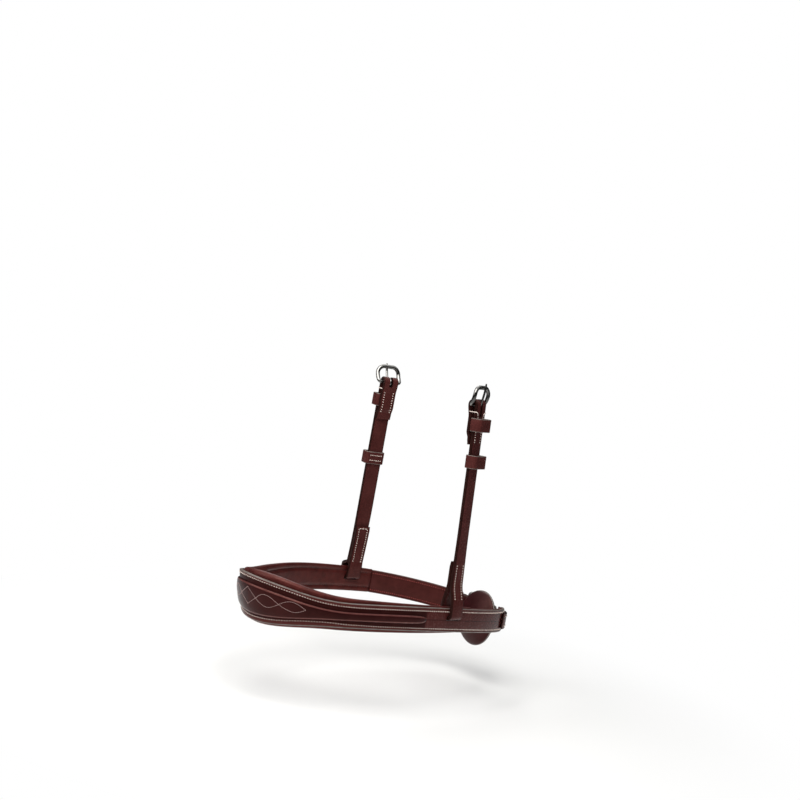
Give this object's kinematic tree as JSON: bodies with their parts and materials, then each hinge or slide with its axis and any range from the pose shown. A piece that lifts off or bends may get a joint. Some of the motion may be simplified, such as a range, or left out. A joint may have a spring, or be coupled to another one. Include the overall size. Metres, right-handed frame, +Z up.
{
  "type": "bridle noseband",
  "caption": "Padded leather bridle noseband on two buckled cheekpieces, closed behind the jaw by a strap and buckle over a chin pad.",
  "frame": {"origin": "on the face of the padding at the middle of the nose, where the noseband lies on the horse", "axes": "+Z up to the horse's poll, -Y to the front of its nose, +X to its near (left) side"},
  "size_m": [0.1611, 0.298, 0.2564],
  "materials": {
    "havana_leather": "dark havana bridle leather, waxed and lightly glossy, painted edges",
    "lining_leather": "soft red-brown lining leather, satin",
    "pad_leather": "soft dark wine leather over foam, satin",
    "wool_felt": "pressed wool felt, hidden inside",
    "stainless_steel": "polished stainless steel"
  },
  "bodies": {
    "noseband": {"nosepiece_leather": "havana_leather", "nosepiece_bolster": "wool_felt", "nosepiece_padding": "lining_leather", "near_flat_lining": "lining_leather", "off_flat_lining": "lining_leather", "closing_strap": "havana_leather", "closing_buckle_chape": "havana_leather", "closing_strap_keeper": "havana_leather", "chin_pad": "pad_leather", "chin_pad_loop": "havana_leather"},
    "near_cheekpiece": {"near_cheek_strap": "havana_leather", "near_fixed_keeper": "havana_leather"},
    "off_cheekpiece": {"off_cheek_strap": "havana_leather", "off_fixed_keeper": "havana_leather"},
    "near_keeper": {"near_running_keeper": "havana_leather"},
    "off_keeper": {"off_running_keeper": "havana_leather"},
    "near_frame": {"near_buckle_frame": "stainless_steel"},
    "off_frame": {"off_buckle_frame": "stainless_steel"},
    "near_tongue": {"near_buckle_tongue": "stainless_steel"},
    "off_tongue": {"off_buckle_tongue": "stainless_steel"},
    "closing_frame": {"closing_buckle_frame": "stainless_steel"},
    "closing_tongue": {"closing_buckle_tongue": "stainless_steel"}
  },
  "joints": [
    {"name": "near_cheek_swing", "type": "hinge", "parent": "noseband", "child": "near_cheekpiece", "pos_m": [0.07292, 0.15302, 0.00917], "axis": [-0.0901, 0.9953, -0.0349], "range_deg": [-7, 8]},
    {"name": "off_cheek_swing", "type": "hinge", "parent": "noseband", "child": "off_cheekpiece", "pos_m": [-0.07246, 0.15769, 0.00883], "axis": [-0.1066, -0.9937, 0.0349], "range_deg": [-8, 8]},
    {"name": "near_keeper_slide", "type": "slide", "parent": "near_cheekpiece", "child": "near_keeper", "axis": [-0.051, -0.0062, 0.9987], "range_m": [-0.056, 0.0075]},
    {"name": "off_keeper_slide", "type": "slide", "parent": "off_cheekpiece", "child": "off_keeper", "axis": [0.0163, -0.0033, 0.9999], "range_m": [-0.0335, 0.03]},
    {"name": "near_buckle_swing", "type": "hinge", "parent": "near_cheekpiece", "child": "near_frame", "pos_m": [0.06053, 0.15261, 0.19108], "axis": [-0.2301, 0.9732, -0.0057], "range_deg": [-45, 45]},
    {"name": "off_buckle_swing", "type": "hinge", "parent": "off_cheekpiece", "child": "off_frame", "pos_m": [-0.06331, 0.15743, 0.19093], "axis": [-0.2451, -0.9695, 0.0008], "range_deg": [-60, 35]},
    {"name": "near_tongue_swing", "type": "hinge", "parent": "near_frame", "child": "near_tongue", "pos_m": [0.06053, 0.15261, 0.19108], "axis": [-0.2301, 0.9732, -0.0057], "range_deg": [0, 55]},
    {"name": "off_tongue_swing", "type": "hinge", "parent": "off_frame", "child": "off_tongue", "pos_m": [-0.06331, 0.15743, 0.19093], "axis": [-0.2451, -0.9695, 0.0008], "range_deg": [0, 55]},
    {"name": "closing_buckle_swing", "type": "hinge", "parent": "noseband", "child": "closing_frame", "pos_m": [-0.02449, 0.27386, -0.0127], "axis": [0, 0, 1], "range_deg": [0, 6]},
    {"name": "closing_tongue_swing", "type": "hinge", "parent": "closing_frame", "child": "closing_tongue", "pos_m": [-0.02449, 0.27386, -0.0127], "axis": [0, 0, 1], "range_deg": [0, 6]}
  ]
}
